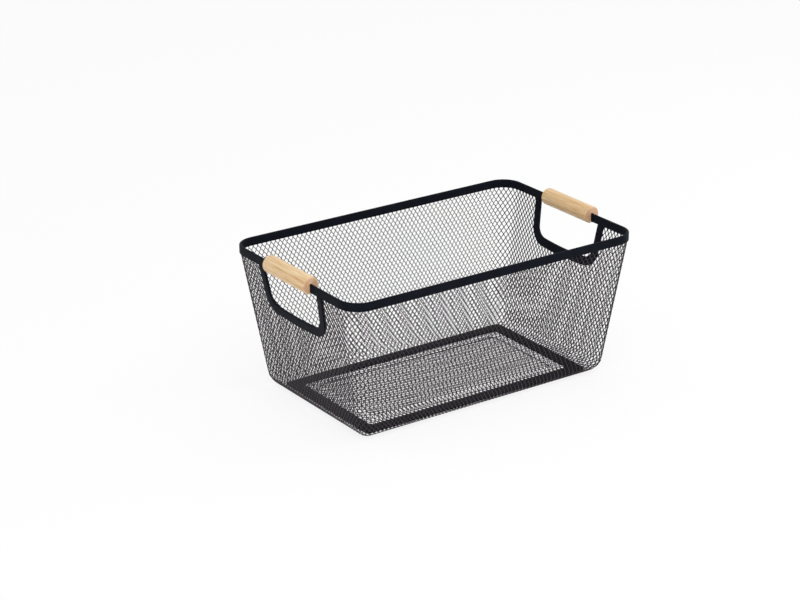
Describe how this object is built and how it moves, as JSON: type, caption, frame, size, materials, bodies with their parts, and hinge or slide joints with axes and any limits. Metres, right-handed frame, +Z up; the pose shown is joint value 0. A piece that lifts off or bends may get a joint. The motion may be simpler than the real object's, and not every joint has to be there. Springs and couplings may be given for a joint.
{
  "type": "wire locker basket",
  "caption": "Open-topped rectangular storage basket of expanded steel mesh in a folded rim, with leaning walls, end hand openings and round wooden grips over the rim.",
  "frame": {"origin": "middle of the basket's outline, on the surface that it stands on", "axes": "+X along the length towards the right grip, +Y across the width, +Z up"},
  "size_m": [0.3714, 0.225, 0.1658],
  "materials": {
    "mesh": "satin powder coat, near black",
    "folded_steel": "satin powder coat, near black with a faint blue cast",
    "base_strip": "satin powder coat, dark grey",
    "grip_wood": "sanded pale wood with a thin clear seal, grain along the grip"
  },
  "bodies": {
    "root": {"wall_mesh": "mesh", "floor_mesh": "mesh", "base_ring": "base_strip", "rim_channel": "folded_steel", "left_opening_trim": "folded_steel", "right_opening_trim": "folded_steel", "left_grip": "grip_wood", "right_grip": "grip_wood"}
  },
  "joints": []
}
